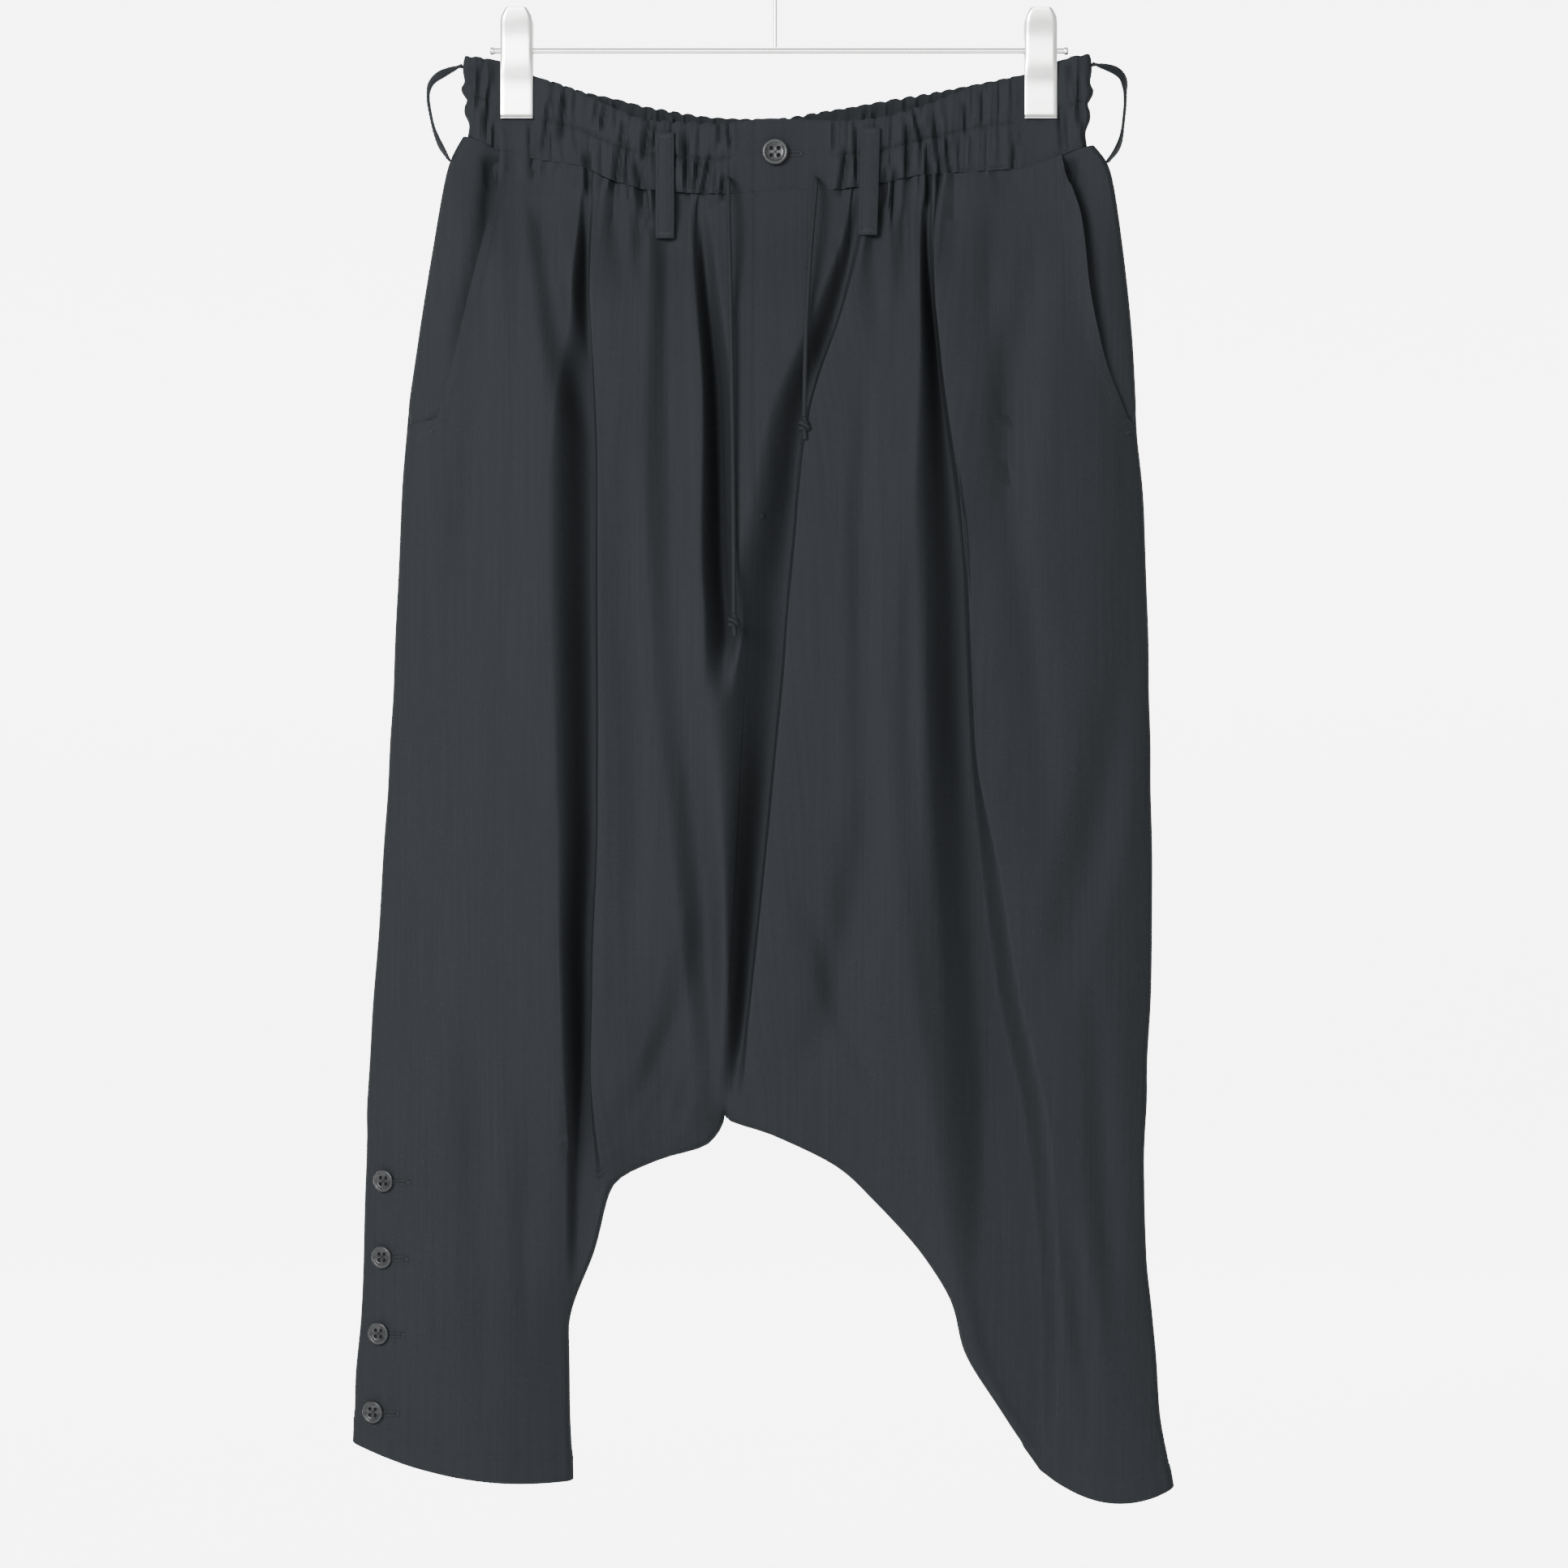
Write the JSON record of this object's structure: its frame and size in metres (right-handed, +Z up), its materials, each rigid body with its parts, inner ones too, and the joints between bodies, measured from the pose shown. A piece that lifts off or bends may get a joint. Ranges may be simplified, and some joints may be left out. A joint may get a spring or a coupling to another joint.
{
  "type": "harem pants on a clip hanger",
  "caption": "Charcoal drop-crotch harem pants with a gathered elastic waist, drawcord, slant pockets and buttoned ankles, hanging from a chrome clip hanger.",
  "frame": {"origin": "where the hanger's hook bears on its rail, at the top of the hook's inside", "axes": "+Z up, +X the wearer's left, -Y the front of the trousers"},
  "size_m": [0.5555, 0.0885, 1.0899],
  "materials": {
    "cloth": "matte charcoal twill",
    "button": "polished dark horn",
    "cord": "braided charcoal cord",
    "hanger": "bright plated"
  },
  "bodies": {
    "root": {"front_right": "cloth", "front_left": "cloth", "back_right": "cloth", "back_left": "cloth", "pocket_facing_right": "cloth", "pocket_facing_left": "cloth", "waistband_front_right": "cloth", "waistband_front_left": "cloth", "waistband_back": "cloth", "belt_loop_front_right": "cloth", "belt_loop_front_left": "cloth", "belt_loop_side_right": "cloth", "belt_loop_side_left": "cloth", "belt_loop_back": "cloth", "waist_button": "button", "ankle_button_right_1": "button", "ankle_button_right_2": "button", "ankle_button_right_3": "button", "ankle_button_right_4": "button", "ankle_button_left_1": "button", "ankle_button_left_2": "button", "ankle_button_left_3": "button", "ankle_button_left_4": "button", "drawcord_right": "cord", "drawcord_left": "cord", "drawcord_knot_right": "cord", "drawcord_knot_left": "cord", "hanger_hook": "hanger", "hanger_bar": "hanger", "clip_jaw_front_right": "hanger", "clip_jaw_back_right": "hanger", "clip_spring_right": "hanger", "clip_jaw_front_left": "hanger", "clip_jaw_back_left": "hanger", "clip_spring_left": "hanger"}
  },
  "joints": []
}
